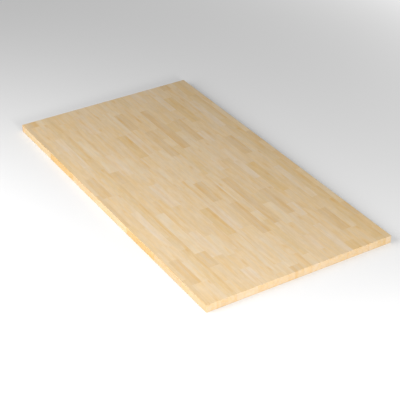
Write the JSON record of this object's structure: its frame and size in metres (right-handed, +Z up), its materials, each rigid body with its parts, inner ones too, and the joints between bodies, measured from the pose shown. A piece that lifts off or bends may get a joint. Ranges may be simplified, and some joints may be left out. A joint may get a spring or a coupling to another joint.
{
  "type": "butcher block countertop",
  "caption": "Flat rectangular worktop panel of hardwood staves, glued side by side in rows with staggered end joints, sanded smooth, with square eased edges.",
  "frame": {"origin": "middle of the underside, on the surface that the panel lies on", "axes": "+X along the staves and the long sides, +Y across the staves towards the far long side, +Z up through the thickness"},
  "size_m": [1.8288, 0.9906, 0.0381],
  "materials": {
    "sanded_birch": "matte, sanded, unsealed"
  },
  "bodies": {
    "root": {"stave_row_01": "sanded_birch", "stave_row_02": "sanded_birch", "stave_row_03": "sanded_birch", "stave_row_04": "sanded_birch", "stave_row_05": "sanded_birch", "stave_row_06": "sanded_birch", "stave_row_07": "sanded_birch", "stave_row_08": "sanded_birch", "stave_row_09": "sanded_birch", "stave_row_10": "sanded_birch", "stave_row_11": "sanded_birch", "stave_row_12": "sanded_birch", "stave_row_13": "sanded_birch", "stave_row_14": "sanded_birch", "stave_row_15": "sanded_birch", "stave_row_16": "sanded_birch", "stave_row_17": "sanded_birch", "stave_row_18": "sanded_birch", "stave_row_19": "sanded_birch", "stave_row_20": "sanded_birch", "stave_row_21": "sanded_birch", "stave_row_22": "sanded_birch"}
  },
  "joints": []
}
